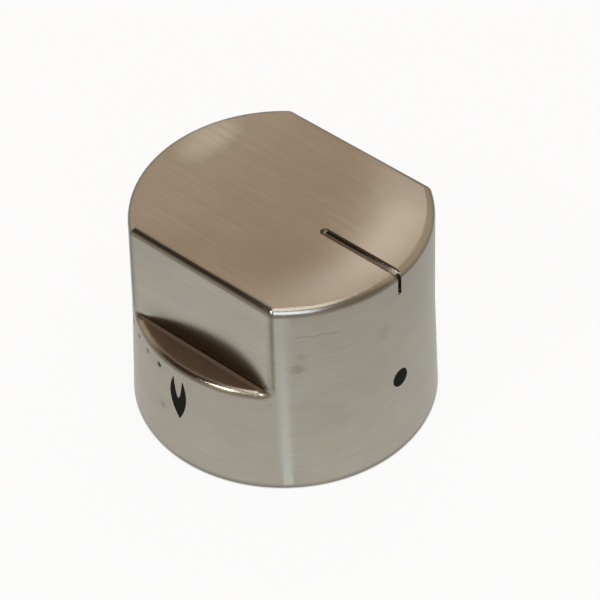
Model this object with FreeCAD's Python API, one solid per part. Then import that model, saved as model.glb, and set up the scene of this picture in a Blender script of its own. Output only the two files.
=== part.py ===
# Oven control knob: a die-cast shell with two grip flats, the moulded hub
# pressed into it from behind, and the spring clip round the hub's spindle boss.
# Millimetres. The origin is the middle of the back rim, +Z points out of the
# panel, the pointer groove lies along +Y and the grip flats face +X and -X.
import FreeCAD, Part
import math
import os

from FreeCAD import Vector

# Outside of the shell
base_diameter = 45.0            # across the back rim
knob_height = 33.85
skirt_draft = 2.25              # degrees, the skirt below the ledges
grip_draft = 0.73               # degrees, the round sides of the grip above them
ledge_height = 18.05            # the finger ledges at the foot of the flats
ledge_lip = 1.4                 # grip draft carried on below the ledges, before the skirt's
flat_inset = 4.45               # how far each flat is cut in at the top, 34.4 across the flats
flat_draft = 0.5                # degrees, so that the casting leaves its die
edge_radius = 1.2               # edges of the top, corners of the flats, rims of the ledges
ledge_root_radius = 0.5         # inside corner between a flat and its ledge
rim_chamfer = 0.3               # outer edge of the back rim

# Pointer groove
pointer_length = 14.2           # inwards from the side
pointer_width = 1.4             # a shallow hollow along the top
pointer_depth = 0.55
notch_width = 0.7               # the narrow notch in which it turns down the side
notch_depth = 0.8
notch_drop = 3.75               # from the top to the notch's lower end

# Walls of the shell
side_wall = 2.2
ledge_wall = 2.2
top_wall = 2.6

# Hub pressed into the shell
hub_clearance = 0.05            # all round the hub
flange_thickness = 2.0
plug_headroom = 5.0             # between the keyed plug and the inside of the top
plug_wall = 1.8
web_thickness = 1.8
boss_diameter = 14.0
boss_recess = 1.5               # the boss ends this far inside the back rim
gusset_thickness = 1.6
gusset_count = 4
gusset_margin = 4.5             # flange left bare outside the gussets
gusset_clip_gap = 1.0           # between the gussets and the spring clip

# Socket for a D spindle
spindle_diameter = 8.0
spindle_over_flat = 6.5
spindle_clearance = 0.05
lead_in_clearance = 0.25        # wider round mouth, for the spindle's neck
lead_in_depth = 8.0
socket_end_wall = 2.0
mouth_chamfer = 0.6
slot_width = 1.4
slot_end_gap = 3.0              # boss left whole between the slot and the flange

# Spring clip
clip_thickness = 0.5
clip_width = 5.0
clip_offset = 1.6               # from the end of the boss to the clip
clip_seat_depth = 0.4
clip_clearance = 0.05
clip_gap = 60.0                 # degrees, the open side
clip_lip_radius = 1.1
clip_lip_turn = 75.0            # degrees, how far each end curls out

# Heights and radii that follow from the sizes above
skirt_top = ledge_height - ledge_lip
shoulder_height = ledge_height - ledge_wall
flange_bottom = shoulder_height - flange_thickness
ceiling = knob_height - top_wall
plug_top = ceiling - plug_headroom
plug_height = plug_top - shoulder_height
hub_inset = side_wall + hub_clearance
socket_radius = spindle_diameter / 2 + spindle_clearance
lead_in_radius = spindle_diameter / 2 + lead_in_clearance
socket_flat = spindle_over_flat - spindle_diameter / 2 + spindle_clearance
lead_in_top = boss_recess + lead_in_depth
flat_depth = plug_top - socket_end_wall - lead_in_top
boss_radius = boss_diameter / 2
clip_seat_radius = boss_radius - clip_seat_depth
clip_bottom = boss_recess + clip_offset
clip_top = clip_bottom + clip_width

origin = Vector(0, 0, 0)
axis_x = Vector(1, 0, 0)
axis_y = Vector(0, 1, 0)
axis_z = Vector(0, 0, 1)
same_height = 0.01              # edges closer than this lie at one level
spill = 1.0                     # how far a cutting solid passes the faces it cuts


def taper(degrees):
    """Sideways run of a drafted wall for each millimetre of height."""
    return math.tan(math.radians(degrees))


def side_radius(height):
    """Outer radius of the shell, with the skirt's draft below and the grip's above."""
    base_radius = base_diameter / 2
    skirt_part = min(height, skirt_top)
    grip_part = max(height - skirt_top, 0)
    return base_radius - taper(skirt_draft) * skirt_part - taper(grip_draft) * grip_part


top_radius = side_radius(knob_height)


def flat_distance(height):
    """Distance of a grip flat from the axis."""
    return top_radius - flat_inset + taper(flat_draft) * (knob_height - height)


def turned(inset, low, high):
    """Solid of revolution that keeps a constant distance inside the shell's side."""
    heights = [low, high]
    if low < skirt_top < high:
        heights.insert(1, skirt_top)
    side = [Vector(side_radius(height) - inset, 0, height) for height in heights]
    outline = [Vector(0, 0, low)] + side + [Vector(0, 0, high), Vector(0, 0, low)]
    return Part.Face(Part.makePolygon(outline)).revolve(origin, axis_z, 360)


def prism(corners, length, start):
    """Solid with an outline of (x, z) corners, extruded along +Y from start."""
    points = [Vector(x, start, z) for x, z in corners]
    face = Part.Face(Part.makePolygon(points + points[:1]))
    return face.extrude(axis_y * length)


def between_flats(inset, low, high):
    """Wedge between the two grip flats, each moved inwards by inset."""
    low_half = flat_distance(low) - inset
    high_half = flat_distance(high) - inset
    corners = [(-low_half, low), (low_half, low), (high_half, high), (-high_half, high)]
    return prism(corners, base_diameter, -base_diameter / 2)


def flat_cut(side):
    """What is cut away outside one flat, with the rounded corner over the ledge."""
    over_top = knob_height + spill
    foot = side * flat_distance(ledge_height)
    corners = [
        (foot, ledge_height),
        (side * base_diameter, ledge_height),
        (side * base_diameter, over_top),
        (side * flat_distance(over_top), over_top),
    ]
    cut = prism(corners, 2 * base_diameter, -base_diameter)
    corner = Vector(foot, 0, ledge_height)
    root = [edge for edge in cut.Edges if edge.CenterOfMass.distanceToPoint(corner) < same_height]
    return cut.makeFillet(ledge_root_radius, root)


def is_outer_edge(edge):
    """Edges of the top, upright corners of the flats and curved rims of the ledges."""
    box = edge.BoundBox
    above_ledge = box.ZMin > ledge_height - same_height
    reaches_top = box.ZMax > knob_height - same_height
    curved_rim = edge.Curve.TypeId == "Part::GeomCircle"
    return above_ledge and (reaches_top or curved_rim)


def pointer_cut():
    """Shallow round hollow along the top, and the narrow notch down the side."""
    half = pointer_width / 2
    hollow_radius = (half**2 + pointer_depth**2) / (2 * pointer_depth)
    hollow_height = knob_height - pointer_depth + hollow_radius
    start = Vector(0, top_radius - pointer_length + half, hollow_height)
    hollow = Part.makeCylinder(hollow_radius, pointer_length + spill, start, axis_y)
    round_end = Part.makeSphere(hollow_radius, start)

    notch_half = notch_width / 2
    notch_end = knob_height - notch_drop + notch_half
    foot = Vector(0, side_radius(notch_end) - notch_depth, notch_end)
    notch_length = knob_height + spill - notch_end
    notch = Part.makeBox(notch_width, notch_depth + spill, notch_length, foot - axis_x * notch_half)
    notch_foot = Part.makeCylinder(notch_half, notch_depth + spill, foot, axis_y)
    return hollow.multiFuse([round_end, notch, notch_foot])


def make_shell():
    """Thin-walled casting: outside with rounded edges, less cavity and groove."""
    blank = turned(0, 0, knob_height)
    blank = blank.cut([flat_cut(1), flat_cut(-1)])
    blank = blank.makeFillet(edge_radius, [edge for edge in blank.Edges if is_outer_edge(edge)])

    skirt_cavity = turned(side_wall, 0, shoulder_height)
    grip_cavity = turned(side_wall, shoulder_height, ceiling)
    grip_cavity = grip_cavity.common(between_flats(side_wall, shoulder_height, ceiling))
    shell = blank.cut([skirt_cavity, grip_cavity, pointer_cut()])

    rim_edges = [
        edge
        for edge in shell.Edges
        if edge.BoundBox.ZMax < same_height and edge.BoundBox.XMax > base_diameter / 2 - same_height
    ]
    return shell.makeChamfer(rim_chamfer, rim_edges)


def spindle_socket():
    """Round lead-in with a chamfered mouth, then the D-shaped length."""
    mouth_radius = lead_in_radius + mouth_chamfer
    mouth = Part.makeCone(mouth_radius, lead_in_radius, mouth_chamfer, axis_z * boss_recess)
    lead_in = Part.makeCylinder(lead_in_radius, lead_in_depth, axis_z * boss_recess)
    deep = Part.makeCylinder(socket_radius, flat_depth, axis_z * lead_in_top)
    flat_corner = Vector(-boss_diameter, socket_flat, lead_in_top)
    beyond_flat = Part.makeBox(2 * boss_diameter, boss_diameter, flat_depth, flat_corner)
    return mouth.multiFuse([lead_in, deep.cut(beyond_flat)])


def gusset(angle):
    """Triangular rib between the boss and the underside of the flange."""
    low = clip_top + gusset_clip_gap
    outer = side_radius(flange_bottom) - hub_inset - gusset_margin
    corners = [
        (clip_seat_radius, flange_bottom),
        (outer, flange_bottom),
        (boss_radius, low),
        (clip_seat_radius, low),
    ]
    rib = prism(corners, gusset_thickness, -gusset_thickness / 2)
    rib.rotate(origin, axis_z, angle)
    return rib


def make_hub():
    """Moulding with flange, keyed and ribbed plug, and slotted spindle boss."""
    flange = turned(hub_inset, flange_bottom, shoulder_height)
    boss = Part.makeCylinder(boss_radius, plug_top - boss_recess, axis_z * boss_recess)

    plug = turned(hub_inset, shoulder_height, plug_top)
    plug = plug.common(between_flats(hub_inset, shoulder_height, plug_top))
    key_walls = plug.cut(between_flats(hub_inset + plug_wall, shoulder_height, plug_top))
    web_start = Vector(-base_diameter / 2, -web_thickness / 2, shoulder_height)
    web = Part.makeBox(base_diameter, web_thickness, plug_height, web_start)
    cross_web = web.copy()
    cross_web.rotate(origin, axis_z, 90)
    webs = plug.common(web.fuse(cross_web))

    gussets = [gusset(360 * (number + 0.5) / gusset_count) for number in range(gusset_count)]
    hub = flange.multiFuse([boss, key_walls, webs] + gussets)

    slot_start = Vector(-boss_diameter, -slot_width / 2, boss_recess)
    slot_depth = flange_bottom - slot_end_gap - boss_recess
    slot = Part.makeBox(2 * boss_diameter, slot_width, slot_depth, slot_start)
    seat_height = clip_width + 2 * clip_clearance
    seat_start = axis_z * (clip_bottom - clip_clearance)
    seat = Part.makeCylinder(boss_diameter, seat_height, seat_start)
    seat = seat.cut(Part.makeCylinder(clip_seat_radius, seat_height, seat_start))
    return hub.cut([spindle_socket(), slot, seat])


def polar(centre, radius, angle):
    """Point of the clip's outline at an angle in degrees."""
    turn = math.radians(angle)
    return centre + Vector(radius * math.cos(turn), radius * math.sin(turn), 0)


def strip(centre, middle_radius, first, last):
    """Length of the clip's band bent round a centre, from one angle to another."""
    inner = middle_radius - clip_thickness / 2
    outer = middle_radius + clip_thickness / 2
    middle = (first + last) / 2
    inner_arc = Part.Arc(
        polar(centre, inner, first), polar(centre, inner, middle), polar(centre, inner, last)
    )
    outer_arc = Part.Arc(
        polar(centre, outer, last), polar(centre, outer, middle), polar(centre, outer, first)
    )
    outline = [
        inner_arc.toShape(),
        Part.makeLine(polar(centre, inner, last), polar(centre, outer, last)),
        outer_arc.toShape(),
        Part.makeLine(polar(centre, outer, first), polar(centre, inner, first)),
    ]
    return Part.Face(Part.Wire(outline)).extrude(axis_z * clip_width)


def make_clip():
    """Open band round the boss, with both ends curled outwards at the gap."""
    centre = axis_z * clip_bottom
    middle_radius = clip_seat_radius + clip_clearance + clip_thickness / 2
    first = -90 + clip_gap / 2
    last = 270 - clip_gap / 2
    pieces = [strip(centre, middle_radius, first, last)]
    for end, back in ((first, -1), (last, 1)):
        lip_centre = polar(centre, middle_radius + clip_lip_radius, end)
        seam = end + 180
        pieces.append(strip(lip_centre, clip_lip_radius, seam, seam - back * clip_lip_turn))
    return pieces[0].multiFuse(pieces[1:])


os.makedirs("parts", exist_ok=True)
for name, shape in (
    ("knob_shell", make_shell()),
    ("hub_insert", make_hub()),
    ("boss_spring_clip", make_clip()),
):
    solid = shape.removeSplitter().Solids[0]
    solid.exportStep("parts/" + name + ".step")
    print(name, "volume", round(solid.Volume, 1), "mm3, valid", solid.isValid())
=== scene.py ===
# %% [markdown]
# This lesson dresses an oven control knob. On the real object a zinc casting carries
# the whole look: a round skirt, two grip flats with a finger ledge at the foot of each,
# a flat top and a pointer groove. The solids come from the imported CAD model, so the
# scene starts by loading them.

import math

import bmesh
import bpy
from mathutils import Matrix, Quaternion, Vector


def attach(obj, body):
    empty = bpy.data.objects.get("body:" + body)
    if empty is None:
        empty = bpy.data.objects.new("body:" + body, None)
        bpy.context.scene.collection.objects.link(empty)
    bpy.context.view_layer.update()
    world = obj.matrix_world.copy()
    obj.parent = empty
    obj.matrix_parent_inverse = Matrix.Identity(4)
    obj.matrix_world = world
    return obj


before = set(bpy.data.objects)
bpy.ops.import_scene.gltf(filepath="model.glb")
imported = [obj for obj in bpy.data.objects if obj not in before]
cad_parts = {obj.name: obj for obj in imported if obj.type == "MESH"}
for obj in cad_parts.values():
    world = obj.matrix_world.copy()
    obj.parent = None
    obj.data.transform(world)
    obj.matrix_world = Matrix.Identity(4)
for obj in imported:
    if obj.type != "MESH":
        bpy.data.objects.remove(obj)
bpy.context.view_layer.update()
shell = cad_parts["knob_shell"]
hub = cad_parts["hub_insert"]
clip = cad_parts["boss_spring_clip"]
MM = 0.001

# %% [markdown]
# The knob was photographed from above, with the pointer groove running towards the
# lower right. A long lens keeps the upright sides nearly parallel, as they are in
# the picture. The camera could be placed by eye, but a distance, two angles and a
# small roll round a target point are easier to read and to correct one at a time.

# %% Camera
view_target = Vector((-1.44, 1.85, 15.82)) * MM
view_azimuth = math.radians(42.0)
view_elevation = math.radians(43.62)
view_distance = 433.7 * MM
view_roll = math.radians(1.30)
lens_mm = 180
sensor_mm = 36


def direction(azimuth, elevation):
    """Unit vector towards an azimuth from +X and a height above the floor."""
    flat = math.cos(elevation)
    return Vector((flat * math.cos(azimuth), flat * math.sin(azimuth), math.sin(elevation)))


def facing(towards):
    """Rotation that points a camera or a lamp along a direction."""
    return towards.to_track_quat("-Z", "Y")


camera = bpy.data.objects.new("camera", bpy.data.cameras.new("camera"))
bpy.context.scene.collection.objects.link(camera)
bpy.context.scene.camera = camera
to_camera = direction(view_azimuth, view_elevation)
camera.location = view_target + to_camera * view_distance
camera.rotation_mode = "QUATERNION"
camera.rotation_quaternion = facing(-to_camera) @ Quaternion((0, 0, 1), -view_roll)
camera.data.lens = lens_mm
camera.data.sensor_width = sensor_mm
print("camera at", [round(v, 4) for v in camera.location])

# %% [markdown]
# Every finish below is a small graph of shader nodes. The graphs could be clicked
# together by hand, but in code they stay readable with a few helpers: they add a node
# and fill its sockets, do arithmetic on numbers and on vectors, turn a range of values
# into a soft mask from 0 to 1, and mix numbers or colours by such a mask.

# %% Helpers for shader graphs


def new_material(name):
    """An empty node material and its tree."""
    material = bpy.data.materials.new(name)
    material.use_nodes = True
    material.node_tree.nodes.clear()
    return material, material.node_tree


def feed(tree, socket, value):
    """Links a socket into another one, or writes a constant there."""
    if isinstance(value, bpy.types.NodeSocket):
        tree.links.new(value, socket)
    else:
        socket.default_value = value


def add(tree, kind, sockets=None, **settings):
    """A node with its settings, and with its sockets fed by name or number."""
    made = tree.nodes.new(kind)
    for key, value in settings.items():
        setattr(made, key, value)
    for key, value in (sockets or {}).items():
        feed(tree, made.inputs[key], value)
    return made


def calc(tree, operation, *values):
    """One arithmetic step on sockets or numbers."""
    made = add(tree, "ShaderNodeMath", dict(enumerate(values)), operation=operation)
    return made.outputs[0]


def times(tree, product, *factors):
    """Product of masks and numbers."""
    for factor in factors:
        product = calc(tree, "MULTIPLY", product, factor)
    return product


def most(tree, largest, *others):
    """Largest of several masks."""
    for other in others:
        largest = calc(tree, "MAXIMUM", largest, other)
    return largest


def arrow(tree, operation, sockets):
    """One step on vectors that gives a vector."""
    return add(tree, "ShaderNodeVectorMath", sockets, operation=operation).outputs[0]


def measure(tree, operation, sockets):
    """One step on vectors that gives a number."""
    return add(tree, "ShaderNodeVectorMath", sockets, operation=operation).outputs["Value"]


def mask(tree, value, start, end):
    """Smooth step from 0 at the start to 1 at the end, for rising or for falling values."""
    sockets = {"Value": value, "From Min": start, "From Max": end}
    made = add(tree, "ShaderNodeMapRange", sockets, interpolation_type="SMOOTHSTEP")
    return made.outputs[0]


def blend(tree, share, first, second):
    """Mixes two numbers by a share from 0 to 1."""
    sockets = {"Factor": share, "A": first, "B": second}
    return add(tree, "ShaderNodeMix", sockets, data_type="FLOAT").outputs["Result"]


def tint(tree, share, first, second):
    """Mixes two colours by a share from 0 to 1."""
    made = add(tree, "ShaderNodeMix", data_type="RGBA")
    feed(tree, made.inputs["Factor"], share)
    feed(tree, made.inputs["A"], first)
    feed(tree, made.inputs["B"], second)
    return made.outputs["Result"]


def grain(tree, vector, scale, detail):
    """Noise around 0.5, from a vector, a scale and a number of finer layers."""
    sockets = {"Vector": vector, "Scale": scale, "Detail": detail}
    return add(tree, "ShaderNodeTexNoise", sockets).outputs[0]


def colour(red, green, blue):
    """An opaque linear colour."""
    return (red, green, blue, 1.0)


print("helpers ready")

# %% [markdown]
# The casting is brushed and then plated with satin nickel. The belt ran along the
# pointer on the top and on the flats, and round the knob on its sides. Such a finish
# could be painted from an image of scratches. Here noise that is squeezed across the
# strokes and drawn out along them makes the lines, and the shader's own anisotropy
# spreads each highlight across them. The mask of the top and ledges comes from the
# surface direction, and the mask of the round side from the distance to the axis.

# %% Places on the shell, for its masks
side_radius = 22.0
grip_height = 33.85
ledge_height = 18.05
skirt_top = 16.65

nickel, tree = new_material("satin_nickel_brushed")
place = add(tree, "ShaderNodeTexCoord")
in_mm = arrow(tree, "SCALE", {0: place.outputs["Object"], "Scale": 1 / MM})
x, y, z = add(tree, "ShaderNodeSeparateXYZ", {0: in_mm}).outputs
normal_z = add(tree, "ShaderNodeSeparateXYZ", {0: place.outputs["Normal"]}).outputs[2]
off_x = calc(tree, "ABSOLUTE", x)
off_y = calc(tree, "ABSOLUTE", y)
radius = calc(tree, "SQRT", calc(tree, "ADD", times(tree, x, x), times(tree, y, y)))
turn = calc(tree, "ARCTAN2", y, x)
arc = times(tree, turn, side_radius)
on_top = mask(tree, normal_z, 0.6, 0.8)
upright = calc(tree, "SUBTRACT", 1.0, on_top)
on_side = times(tree, mask(tree, radius, 21.0, 21.5), upright)
on_flat = calc(tree, "SUBTRACT", upright, on_side)
on_skirt = mask(tree, z, skirt_top + 0.6, skirt_top - 0.2)
on_ledge = times(tree, on_top, mask(tree, z, ledge_height + 2.0, ledge_height + 1.0))
flat_top = calc(tree, "SUBTRACT", on_top, on_ledge)
on_edge = times(tree, mask(tree, normal_z, 0.12, 0.3), mask(tree, normal_z, 0.995, 0.95))
print("places on the shell", len(tree.nodes), "nodes")

# %% Brush lines
top_shift = 40.0
noise_layers = 3.0
across = blend(tree, on_top, z, x)
along = blend(tree, on_side, y, arc)


def strokes(pitch, length):
    """Brush lines of a pitch and a length in millimetres, with others on the top than on the sides."""
    sockets = {
        0: calc(tree, "DIVIDE", across, pitch),
        1: calc(tree, "DIVIDE", along, length),
        2: times(tree, on_top, top_shift),
    }
    vector = add(tree, "ShaderNodeCombineXYZ", sockets).outputs[0]
    return grain(tree, vector, 1.0, noise_layers)


fine = strokes(0.13, 7.0)
broad = strokes(0.55, 20.0)
broad_share = blend(tree, on_top, 0.35, 0.62)
lines = blend(tree, broad_share, fine, broad)
line_share = blend(tree, on_top, blend(tree, on_skirt, 1.3, 1.05), 1.25)
line_lift = times(tree, calc(tree, "SUBTRACT", lines, 0.5), line_share)
print("brush lines", len(tree.nodes), "nodes")

# %% [markdown]
# Years of cooking left a tan spot by the flame, a few faint smudges and a dark speck on
# the front, and a fine wavy scratch above them. The plating has tarnished a little, in
# streaks along the strokes. Such marks could be painted on an image. Here each is a soft
# mask at its place, so the casting stays one piece and the marks stay sharp at any size.

# %% Stains, tarnish and scratch
ragged = grain(tree, in_mm, 1.6, noise_layers)


def skin_point(degrees, level):
    """Point on the round side, in millimetres."""
    angle = math.radians(degrees)
    return (side_radius * math.cos(angle), side_radius * math.sin(angle), level)


def spot(degrees, level, size, strength):
    """Ragged round stain on the side."""
    gap = measure(tree, "DISTANCE", {0: in_mm, 1: skin_point(degrees, level)})
    uneven = calc(tree, "ADD", gap, times(tree, ragged, size))
    return times(tree, mask(tree, uneven, 1.5 * size, 0.7 * size), strength)


spots = [
    spot(-10.3, 8.6, 0.8, 0.4),
    spot(36.7, 16.3, 0.25, 0.9),
    spot(46.5, 23.0, 1.7, 0.34),
    spot(48.0, 25.4, 1.0, 0.20),
    spot(82.0, 25.0, 2.0, 0.12),
    spot(62.0, 12.5, 4.0, 0.08),
]
tarnish = times(tree, mask(tree, strokes(4.0, 14.0), 0.45, 0.72), upright, 0.5)

scratch_height = 29.05
scratch_swing = 0.16
scratch_start = math.radians(46.5)
scratch_end = math.radians(61.8)
scratch_fade = 0.02
wave = calc(tree, "SINE", times(tree, arc, 2.1))
scratch_line = calc(tree, "ADD", times(tree, wave, scratch_swing), scratch_height)
off_line = calc(tree, "ABSOLUTE", calc(tree, "SUBTRACT", z, scratch_line))
scratch = times(
    tree,
    mask(tree, off_line, 0.17, 0.03),
    mask(tree, turn, scratch_start - scratch_fade, scratch_start + scratch_fade),
    mask(tree, turn, scratch_end + scratch_fade, scratch_end - scratch_fade),
    0.30,
)
stains = most(tree, *spots, scratch)
print("stains", len(spots), "spots and a scratch")

# %% [markdown]
# The pointer groove, the root of each ledge, the foot of the flats and the back rim next to
# the table are darkened. In the groove this is dirt and painted shade. In the root, at the
# foot and on the rim it is painted shade, and at the foot it darkens the ledge as the flat
# mirrors it. The ledges hold a film of brown grease. A thin pale line in each root beside the
# flat is a painted highlight, where the rounding catches light. These places could be
# unwrapped and painted, but heights and distances to a line find them without that.

# %% Painted shade, dirt, grease and a painted highlight
# Painted shade, with some dirt, in the pointer groove.
groove_walls = mask(tree, off_x, 0.74, 0.66)
groove_reach = times(tree, mask(tree, y, 6.2, 6.8), mask(tree, z, 29.5, 30.0))
under_top = mask(tree, z, grip_height - 0.02, grip_height - 0.22)
inside_side = mask(tree, radius, 21.60, 21.45)
groove_darkening = blend(tree, mask(tree, y, 19.0, 20.5), 0.75, 0.25)
groove_shade_and_dirt = times(tree, groove_walls, groove_reach, under_top, inside_side, groove_darkening)

along_root = mask(tree, off_y, 12.6, 11.4)
outwards_and_up = add(tree, "ShaderNodeCombineXYZ", {0: off_x, 1: z}).outputs[0]


def near_root(outwards, level, start, end):
    """Strip along both ledges, round a line at a distance from the middle and at a height."""
    gap = measure(tree, "DISTANCE", {0: outwards_and_up, 1: (outwards, level, 0.0)})
    return times(tree, mask(tree, gap, start, end), along_root)


# Painted shade in the root of each ledge.
root_shade = near_root(17.4, ledge_height + 0.1, 0.55, 0.30)
# Painted highlight: a thin pale line where the root's rounding catches light.
root_highlight_line = near_root(17.68, ledge_height + 0.02, 0.40, 0.20)
crevice_shade_and_dirt = most(tree, groove_shade_and_dirt, root_shade)
level_ledge = times(tree, on_ledge, mask(tree, normal_z, 0.90, 0.99))
grease = times(tree, level_ledge, blend(tree, broad, 0.6, 1.0))
# Painted shade at the foot of the flats, which darkens the ledge where the flat mirrors it.
low_on_flat = times(
    tree,
    mask(tree, z, ledge_height + 6.0, ledge_height + 0.5),
    mask(tree, z, ledge_height, ledge_height + 0.1),
    mask(tree, off_y, 12.5, 6.0),
    on_flat,
)
foot_shade = times(tree, low_on_flat, 0.65)
# Painted shade along the back rim, next to the table.
rim_shade = times(tree, mask(tree, z, 1.05, 0.40), 0.75)
print("dirt and grease", len(tree.nodes), "nodes")

# %% [markdown]
# The top is a little paler towards the back, most of all in one patch, and browner in two
# places further forward. Such tones could be painted by hand. Here soft ovals carry them,
# broken up by the brush lines, and they stay slight.

# %% Paler and browner places on the top


def smear(middle, reach):
    """Soft streaky oval on the top, round a point and with two half lengths in millimetres."""
    offset = arrow(tree, "SUBTRACT", {0: in_mm, 1: (*middle, grip_height)})
    shrunk = arrow(tree, "DIVIDE", {0: offset, 1: (*reach, grip_height)})
    off_middle = measure(tree, "LENGTH", {0: shrunk})
    streaky = blend(tree, broad, 0.3, 1.1)
    return times(tree, mask(tree, off_middle, 1.25, 0.1), flat_top, streaky)


lighter_back = times(tree, mask(tree, y, -3.0, -15.0), flat_top, 0.15)
lighter_top = most(tree, smear((-4.5, -17.8), (8.0, 4.2)), lighter_back)
browner_front = times(tree, smear((9.5, 9.5), (10.0, 12.0)), 0.55)
browner_top = most(tree, browner_front, smear((-15.0, 13.0), (4.5, 5.5)))
print("rubbed and browned places", len(tree.nodes), "nodes")

# %% [markdown]
# On the real knob the tones lie over each other, so they are mixed one after another, from
# the bare nickel up to the dirt, the painted shade and a painted highlight. One noise could
# shift the colour as a whole, but then every mark would have the same hue. A thin line on
# each upright corner of the grip is darker: a painted reflection of something dark in the
# corner's rounding. Stains and grease are no metal, so they also lower the share of metal,
# as a dull film, and so does the painted highlight in the root of each ledge.

# %% Colour, film and gloss of the nickel
nickel_colour = colour(0.425, 0.398, 0.334)
nickel_dark = colour(0.358, 0.330, 0.278)
lighter_tone = colour(0.68, 0.71, 0.68)
browner_tone = colour(0.30, 0.268, 0.22)
# Painted shade: shaded_metal, the foot tone and the crevice tone. Painted highlight: the root tone.
# Tarnish, stains and grease are the knob's own colours.
shaded_metal = colour(0.21, 0.19, 0.155)
foot_shade_colour = colour(0.16, 0.135, 0.10)
tarnish_colour = colour(0.405, 0.372, 0.283)
stain_colour = colour(0.185, 0.148, 0.058)
grease_colour = colour(0.185, 0.100, 0.046)
crevice_shade_colour = colour(0.06, 0.040, 0.023)
root_highlight_colour = colour(0.20, 0.142, 0.096)

# Painted reflection: a thin dark line along each upright corner of the grip.
corner_start = math.radians(37.0)
corner_end = math.radians(38.2)
corner_fade = math.radians(0.8)
corner_turn = calc(tree, "ARCTAN2", off_y, off_x)
corner_reflection = times(
    tree,
    upright,
    mask(tree, z, ledge_height, ledge_height + 1.5),
    mask(tree, corner_turn, corner_start - corner_fade, corner_start + corner_fade),
    mask(tree, corner_turn, corner_end + corner_fade, corner_end - corner_fade),
)
blotches = grain(tree, in_mm, 0.16, noise_layers)
shade = calc(tree, "ADD", times(tree, line_lift, 0.9), times(tree, blotches, 0.5))
metal = tint(tree, mask(tree, shade, 0.0, 0.6), nickel_dark, nickel_colour)
for place_of_tone, tone in (
    (lighter_top, lighter_tone),
    (browner_top, browner_tone),
    (corner_reflection, shaded_metal),
    (rim_shade, shaded_metal),
    (foot_shade, foot_shade_colour),
    (tarnish, tarnish_colour),
    (stains, stain_colour),
    (grease, grease_colour),
    (crevice_shade_and_dirt, crevice_shade_colour),
    (root_highlight_line, root_highlight_colour),
):
    metal = tint(tree, place_of_tone, metal, tone)

stain_film = times(tree, stains, 0.4)
grease_film = times(tree, grease, blend(tree, mask(tree, y, -3.0, -10.0), 0.44, 0.56))
root_highlight_film = times(tree, root_highlight_line, 0.6)
bare = calc(tree, "SUBTRACT", 1.0, most(tree, stain_film, grease_film, root_highlight_film))

roughness_side = 0.30
roughness_flat = 0.15
roughness_edge = 0.20
roughness_stain = 0.45
smooth = blend(tree, on_flat, roughness_side, roughness_flat)
smooth = blend(tree, on_edge, smooth, roughness_edge)
rough = calc(tree, "ADD", times(tree, line_lift, 0.12), smooth)
rough = blend(tree, stains, rough, roughness_stain)
print("colour of the nickel", len(tree.nodes), "nodes")

# %% [markdown]
# Pale patches gather beside the pointer, as if the top leaned outwards there. Their cause
# isn't known: it may be the polish or the room. A lean as strong as this, about ten degrees
# at the front edge, could be modelled, but the rim would then drop by more than a
# millimetre, and the picture's outline shows no such drop. So only the surface direction
# leans in the shader, and the shape stays flat.

# %% Lean of the top, and the finished nickel
lean_middle = (2.0, -5.0, grip_height)
lean_start = 13.3
lean_rate = 0.014
stroke_depth = 0.003
nickel_anisotropy = 0.75
nickel_edge_tint = colour(0.82, 0.83, 0.84)

outwards = arrow(tree, "SUBTRACT", {0: in_mm, 1: lean_middle})
from_middle = measure(tree, "LENGTH", {0: outwards})
past_start = calc(tree, "MAXIMUM", calc(tree, "SUBTRACT", from_middle, lean_start), 0.0)
lean = calc(tree, "DIVIDE", times(tree, past_start, lean_rate), from_middle)
lean = arrow(tree, "SCALE", {0: outwards, "Scale": times(tree, lean, flat_top)})
straight = add(tree, "ShaderNodeNewGeometry").outputs["Normal"]
leaning = arrow(tree, "NORMALIZE", {0: arrow(tree, "ADD", {0: straight, 1: lean})})
relief = add(
    tree,
    "ShaderNodeBump",
    {
        "Strength": 1.0,
        "Distance": MM,
        "Height": times(tree, line_lift, stroke_depth),
        "Normal": leaning,
    },
)
across_strokes = add(tree, "ShaderNodeCombineXYZ", {0: on_top, 2: upright})
skin = add(
    tree,
    "ShaderNodeBsdfPrincipled",
    {
        "Base Color": metal,
        "Metallic": bare,
        "Roughness": rough,
        "Anisotropic": nickel_anisotropy,
        "Specular Tint": nickel_edge_tint,
        "Normal": relief.outputs[0],
        "Tangent": across_strokes.outputs[0],
    },
)
add(tree, "ShaderNodeOutputMaterial", {"Surface": skin.outputs[0]})
shell.data.materials[0] = nickel
print("satin nickel", len(tree.nodes), "nodes")

# %% [markdown]
# The hub is a black heat-resistant moulding. It is matt, with the faint orange peel
# that a moulding tool leaves. A plain black would do from afar, but from close up it
# looks like a hole, so noise varies its tone, its gloss and its surface.

# %% Black moulded plastic on the hub
plastic, tree = new_material("black_moulded_plastic")
place = add(tree, "ShaderNodeTexCoord")
peel = grain(tree, place.outputs["Object"], 2600.0, 3.0)
cloud = grain(tree, place.outputs["Object"], 220.0, 2.0)
black = tint(tree, cloud, colour(0.018, 0.018, 0.019), colour(0.034, 0.034, 0.036))
height = add(tree, "ShaderNodeBump", {"Strength": 0.3, "Distance": 0.03 * MM, "Height": peel})
skin = add(
    tree,
    "ShaderNodeBsdfPrincipled",
    {
        "Base Color": black,
        "Roughness": calc(tree, "ADD", times(tree, cloud, 0.16), 0.42),
        "Normal": height.outputs[0],
    },
)
add(tree, "ShaderNodeOutputMaterial", {"Surface": skin.outputs[0]})
hub.data.materials[0] = plastic
print("plastic nodes", len(tree.nodes))

# %% [markdown]
# The clip is bent from bright rolled strip. Rolling leaves fine lines along the strip,
# which here run round the boss. An image of strip could be wrapped round it. Noise that
# is squeezed along the boss gives the same lines with no seam.

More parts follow.
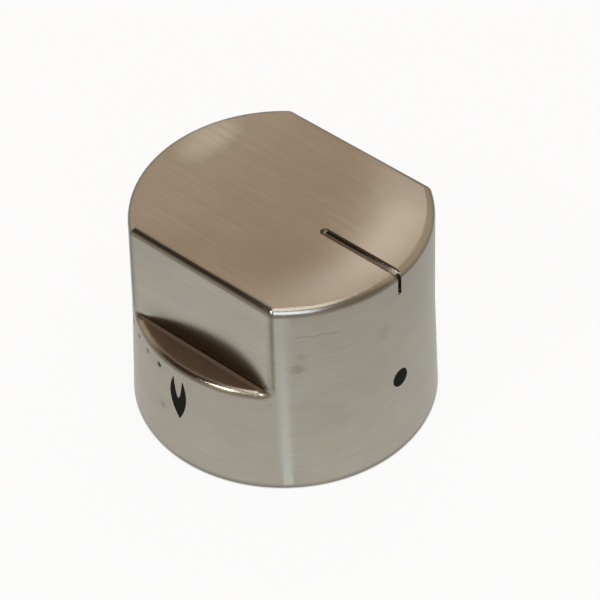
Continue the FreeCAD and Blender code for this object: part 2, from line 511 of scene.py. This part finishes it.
# %% Rolled spring steel on the clip
steel, tree = new_material("rolled_spring_steel")
place = add(tree, "ShaderNodeTexCoord")
squeeze = add(
    tree, "ShaderNodeMapping", {"Vector": place.outputs["Object"], "Scale": (120.0, 120.0, 9000.0)}
)
rolled = grain(tree, squeeze.outputs[0], 1.0, 3.0)
grey = tint(tree, rolled, colour(0.30, 0.30, 0.31), colour(0.50, 0.50, 0.52))
height = add(tree, "ShaderNodeBump", {"Strength": 0.2, "Distance": 0.01 * MM, "Height": rolled})
skin = add(
    tree,
    "ShaderNodeBsdfPrincipled",
    {
        "Base Color": grey,
        "Metallic": 1.0,
        "Roughness": calc(tree, "ADD", times(tree, rolled, 0.2), 0.2),
        "Normal": height.outputs[0],
    },
)
add(tree, "ShaderNodeOutputMaterial", {"Surface": skin.outputs[0]})
clip.data.materials[0] = steel
print("steel nodes", len(tree.nodes))

# %% [markdown]
# The signs are screen printed on the skirt in one dark ink: a round dot under the
# pointer, a flame under the flat and a row of small dots that leads away from it. The
# small dots are worn, and all but the first have faded. The signs could be drawn in the
# shader, but a thin printed film is a shape of its own, so each is a fine mesh. Its rows
# follow the sign's left and right edges, and every vertex is dropped onto the casting
# by a ray and lifted by the film's thickness.

# %% Ink and the way onto the skirt
ink_lift = 0.02 * MM


def ink_material(name, dark, pale):
    """Matt ink, speckled between a dark and a pale tone."""
    made, tree = new_material(name)
    place = add(tree, "ShaderNodeTexCoord")
    speckle = grain(tree, place.outputs["Object"], 5000.0, 3.0)
    tone = tint(tree, speckle, dark, pale)
    skin = add(
        tree,
        "ShaderNodeBsdfPrincipled",
        {"Base Color": tone, "Roughness": 0.6, "Specular IOR Level": 0.02},
    )
    add(tree, "ShaderNodeOutputMaterial", {"Surface": skin.outputs[0]})
    return made


ink = ink_material("printed_ink", colour(0.008, 0.009, 0.008), colour(0.018, 0.019, 0.017))
worn_ink = ink_material("worn_ink", colour(0.02, 0.02, 0.017), colour(0.16, 0.15, 0.13))
faded_ink = ink_material("faded_ink", colour(0.16, 0.147, 0.115), colour(0.40, 0.38, 0.315))


def on_skirt_skin(degrees, shift, level):
    """Point of the skirt beside an azimuth, at a height in millimetres, lifted by the ink."""
    angle = math.radians(degrees) + shift / side_radius
    out = direction(angle, 0)
    start = out * 2 * side_radius * MM + Vector((0, 0, level * MM))
    _, point, normal, _ = shell.ray_cast(start, -out)
    return point + normal * ink_lift


def grid_between(levels, left, right, columns):
    """Rows of points between two edges, each edge a function of the height."""
    rows = []
    for level in levels:
        first, last = left(level), right(level)
        rows.append([(first + (last - first) * k / columns, level) for k in range(columns + 1)])
    return rows


def print_sign(name, degrees, grids, ink_kind=ink):
    """Ink film made of one or more grids of points round an azimuth."""
    vertices, faces = [], []
    for rows in grids:
        for row, next_row in zip(rows, rows[1:]):
            for k in range(len(row) - 1):
                corners = (row[k], row[k + 1], next_row[k + 1], next_row[k])
                base = len(vertices)
                vertices.extend(on_skirt_skin(degrees, *corner) for corner in corners)
                faces.append((base, base + 1, base + 2, base + 3))
    mesh = bpy.data.meshes.new(name)
    mesh.from_pydata(vertices, [], faces)
    film = bmesh.new()
    film.from_mesh(mesh)
    bmesh.ops.remove_doubles(film, verts=film.verts, dist=0.005 * MM)
    bmesh.ops.dissolve_degenerate(film, edges=film.edges, dist=0.002 * MM)
    film.to_mesh(mesh)
    film.free()
    mesh.materials.append(ink_kind)
    sign = bpy.data.objects.new(name, mesh)
    bpy.context.scene.collection.objects.link(sign)
    body = sign.modifiers.new("film", "SOLIDIFY")
    body.thickness = ink_lift
    body.offset = -1
    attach(sign, "root")
    return sign


print("ink film in mm", ink_lift / MM)

# %% Index dot and small dots
dot_rows = 20
dot_columns = 8


def round_grid(size, level):
    """Grid of a round dot of a diameter, at a height in millimetres."""
    half = size / 2
    levels = [level - half * math.cos(math.pi * k / dot_rows) for k in range(dot_rows + 1)]

    def edge(height):
        return math.sqrt(max(half * half - (height - level) ** 2, 0.0))

    return grid_between(levels, lambda height: -edge(height), edge, dot_columns)


index_dot = [round_grid(3.0, 14.1)]
small_dot = [round_grid(0.85, 15.85)]
dots = [print_sign("index_dot", 90.0, index_dot)]
small_dot_start = -12.4
small_dot_pitch = -8.65
small_dot_count = 9
for number in range(small_dot_count):
    degrees = small_dot_start + number * small_dot_pitch
    ink_kind = faded_ink if number else worn_ink
    dots.append(print_sign(f"small_dot_{number + 1}", degrees, small_dot, ink_kind))
print("dots", len(dots))

# %% [markdown]
# The flame has two tongues above a pointed foot. It could be one filled outline, but the
# long thin faces of a filled outline don't follow a round skirt, so it is built in rows
# as the dots are. Its outer edges bow outwards, so each is a parabola through three
# points. Below the notch the two halves meet, and above it each half narrows to its
# own tongue.

# %% Flame
drawn_middle = 12.0
flame_rows = 14
flame_columns = 5


def bow(low, middle, high):
    """Edge through three points of (sideways, height), as a function of the height."""
    (a, p), (b, q), (c, r) = low, middle, high

    def edge(h):
        first = a * (h - q) * (h - r) / ((p - q) * (p - r))
        second = b * (h - p) * (h - r) / ((q - p) * (q - r))
        third = c * (h - p) * (h - q) / ((r - p) * (r - q))
        return first + second + third

    return edge


def spread(low, high, steps):
    """Even heights from low to high."""
    return [low + (high - low) * k / steps for k in range(steps + 1)]


def flame_grids(scale, middle):
    """Both halves of the flame, with all its points scaled about a height."""

    def at(sideways, level):
        return (sideways * scale, middle + (level - drawn_middle) * scale)

    tip, notch = at(-0.42, 8.2), at(-0.66, 12.05)
    halves = []
    for outer, tongue in ((at(-2.06, 11.4), at(-1.54, 15.75)), (at(0.81, 12.4), at(0.19, 15.6))):
        outside = bow(tip, outer, tongue)

        def inside(h, tongue=tongue):
            if h < notch[1]:
                return tip[0] + (notch[0] - tip[0]) * (h - tip[1]) / (notch[1] - tip[1])
            climb = (h - notch[1]) / (tongue[1] - notch[1])
            return notch[0] + (tongue[0] - notch[0]) * math.sqrt(climb)

        below = spread(tip[1], notch[1], flame_rows)
        above = spread(notch[1], tongue[1], flame_rows)
        halves.append(grid_between(below + above[1:], outside, inside, flame_columns))
    return halves


flames = [
    print_sign("large_flame", 0.0, flame_grids(1.0, 12.17)),
    print_sign("small_flame", -90.0, flame_grids(0.6, 14.1)),
]
print("flames", [len(sign.data.polygons) for sign in flames])

# %% [markdown]
# The knob stands on a plain white table. The table is a wide plane, because a metal
# skirt shows it all round. Paper under bright lamps burns out to white, so the table
# glows for the camera and keeps only a faint shadow. In the metal the glow is a painted
# pool of light: white near the knob and darker further off, as a table under a lamp is.
# The glow also hides the thin dark line on which the rim stands, so a narrow ring of the
# glow itself is darkened, as a painted contact shadow.

# %% Floor
floor_half = 1.5
pool_near = 20 * MM
pool_far = 140 * MM
contact_inner = 22.2 * MM
contact_outer = 22.65 * MM
glow_part = 0.9
white = colour(1.0, 1.0, 1.0)
far_table = colour(0.385, 0.39, 0.385)
contact_shade = colour(0.13, 0.12, 0.105)
lit_table = colour(0.9, 0.9, 0.9)

corners = [
    (-floor_half, -floor_half, 0),
    (floor_half, -floor_half, 0),
    (floor_half, floor_half, 0),
    (-floor_half, floor_half, 0),
]
floor_mesh = bpy.data.meshes.new("floor")
floor_mesh.from_pydata(corners, [], [(0, 1, 2, 3)])
floor = bpy.data.objects.new("floor", floor_mesh)
bpy.context.scene.collection.objects.link(floor)
paper, tree = new_material("white_table")
light_path = add(tree, "ShaderNodeLightPath").outputs
on_table = add(tree, "ShaderNodeTexCoord").outputs["Object"]
from_knob = measure(tree, "LENGTH", {0: on_table})
# Painted pool of light: in the metal the table is white near the knob and darker further off.
pool = most(tree, mask(tree, from_knob, pool_far, pool_near), light_path["Is Camera Ray"])
table_glow = tint(tree, pool, far_table, white)
# Painted contact shadow: a dark ring in the glow round the rim.
table_glow = tint(tree, mask(tree, from_knob, contact_outer, contact_inner), table_glow, contact_shade)
lit = add(tree, "ShaderNodeBsdfDiffuse", {"Color": lit_table})
glow = add(tree, "ShaderNodeEmission", {"Color": table_glow, "Strength": 1.0})
seen = most(tree, light_path["Is Camera Ray"], light_path["Is Glossy Ray"])
glow_share = times(tree, seen, glow_part)
table_top = add(tree, "ShaderNodeMixShader", {0: glow_share, 1: lit.outputs[0], 2: glow.outputs[0]})
add(tree, "ShaderNodeOutputMaterial", {"Surface": table_top.outputs[0]})
floor_mesh.materials.append(paper)
print("floor half width in m", floor_half)

# %% [markdown]
# Brushed metal looks like what surrounds it. A picture of a room could wrap the scene,
# but a few soft masks by direction are enough: a brown room, a warm wall on the far side
# with one pale stretch, which the top mirrors, a dark corner, which the flat's edge and
# the ledge mirror, and lighter or darker walls for the rims. The camera itself sees
# plain white.

# %% Room around the table
brown_room = colour(0.44, 0.36, 0.285)
warm_wall = colour(0.76, 0.60, 0.475)
pale_wall = colour(2.40, 2.24, 2.14)
dark_corner = colour(0.05, 0.042, 0.035)
dark_side = colour(0.30, 0.25, 0.195)
left_wall = colour(0.70, 0.59, 0.47)
end_wall = colour(0.80, 0.66, 0.51)
right_wall = colour(0.72, 0.60, 0.47)

world = bpy.data.worlds.new("room")
bpy.context.scene.world = world
world.use_nodes = True
tree = world.node_tree
tree.nodes.clear()
ray = add(tree, "ShaderNodeTexCoord").outputs["Generated"]
lengthways, sideways, upwards = add(tree, "ShaderNodeSeparateXYZ", {0: ray}).outputs


def towards(azimuth, elevation, start, end):
    """Soft round part of the room, in a direction and between two cosines of the angle off it."""
    aim = direction(math.radians(azimuth), math.radians(elevation))
    return mask(tree, measure(tree, "DOT_PRODUCT", {0: ray, 1: aim}), start, end)


far_side = towards(-138, 43, 0.62, 0.94)
pale_stretch = times(
    tree,
    far_side,
    mask(tree, sideways, -0.42, -0.335),
    mask(tree, sideways, -0.20, -0.30),
    mask(tree, upwards, 0.55, 0.66),
    mask(tree, upwards, 0.92, 0.80),
    mask(tree, lengthways, -0.44, -0.54),
)
light_path = add(tree, "ShaderNodeLightPath").outputs
room = brown_room
for part, wall in (
    (far_side, warm_wall),
    (pale_stretch, pale_wall),
    (towards(-42, 47, 0.80, 0.95), dark_corner),
    (towards(102, 24, 0.84, 0.95), dark_side),
    (towards(-88, 22, 0.86, 0.96), left_wall),
    (towards(178, 14, 0.88, 0.97), end_wall),
    (towards(150, 32, 0.85, 0.96), right_wall),
    (light_path["Is Camera Ray"], white),
):
    room = tint(tree, part, room, wall)
sky = add(tree, "ShaderNodeBackground", {"Color": room, "Strength": 1.0})
add(tree, "ShaderNodeOutputWorld", {"Surface": sky.outputs[0]})
print("room nodes", len(tree.nodes))

# %% [markdown]
# Lamps are placed by the direction in which they stand from the knob. A wide bluish lamp
# beside the camera draws the highlight on the front rim, a high panel lights the table
# and a small lamp to the left catches the ledge's rim. The pale streak down the round
# side mirrors a narrow strip of light on the table. The strip could be one lamp, but it
# widens away from the knob, so it is a row of four flat lamps that face up.

# %% Lamps
knob_middle = Vector((0, 0, 16)) * MM


def panel(name, size, power, tone, middle, turned):
    """A rectangular lamp at a place and with a rotation."""
    data = bpy.data.lights.new(name, "AREA")
    data.shape = "RECTANGLE"
    data.size, data.size_y = size
    data.energy = power
    data.color = tone
    made = bpy.data.objects.new(name, data)
    bpy.context.scene.collection.objects.link(made)
    made.location = middle
    made.rotation_mode = "QUATERNION"
    made.rotation_quaternion = turned
    made.visible_camera = False
    return made


def lamp(name, azimuth, elevation, distance, size, power, tone):
    """A soft lamp that stands in a direction from the knob and faces it."""
    aim = direction(math.radians(azimuth), math.radians(elevation))
    return panel(name, size, power, tone, knob_middle + aim * distance, facing(-aim))


cool = (0.76, 1.0, 1.27)
neutral = (1.0, 1.0, 1.0)
warm = (1.0, 0.96, 0.90)
lamps = [
    lamp("soft_lamp", 46, 40, 0.8, (0.44, 0.28), 1.0, cool),
    lamp("high_lamp", 60, 80, 0.8, (0.55, 0.55), 1.5, neutral),
    lamp("small_lamp", -7, 43, 0.7, (0.13, 0.13), 0.75, warm),
]
print("lamps", [made.name for made in lamps])

# %% Strip of light on the table
streak_start = direction(math.radians(42.4), 0) * 22.6 * MM + Vector((0, 0, 0.5 * MM))
streak_turn = math.radians(39.45)
streak_glow = 0.40
streak_tone = (0.74, 1.0, 1.28)
streak_pieces = ((0, 4, 1.5), (4, 12, 2.3), (12, 28, 3.3), (28, 70, 5.0))
face_up = Quaternion((0, 0, 1), streak_turn) @ Quaternion((1, 0, 0), math.pi)
for number, (near, far, width) in enumerate(streak_pieces):
    size = ((far - near) * MM, width * MM)
    middle = streak_start + direction(streak_turn, 0) * (near + far) / 2 * MM
    power = streak_glow * math.pi * size[0] * size[1]
    panel(f"table_streak_{number + 1}", size, power, streak_tone, middle, face_up)
print("pieces of the strip", len(streak_pieces))

# %% [markdown]
# The last cell sets the view transform to Standard.

# %% View transform
bpy.context.scene.view_settings.view_transform = "Standard"
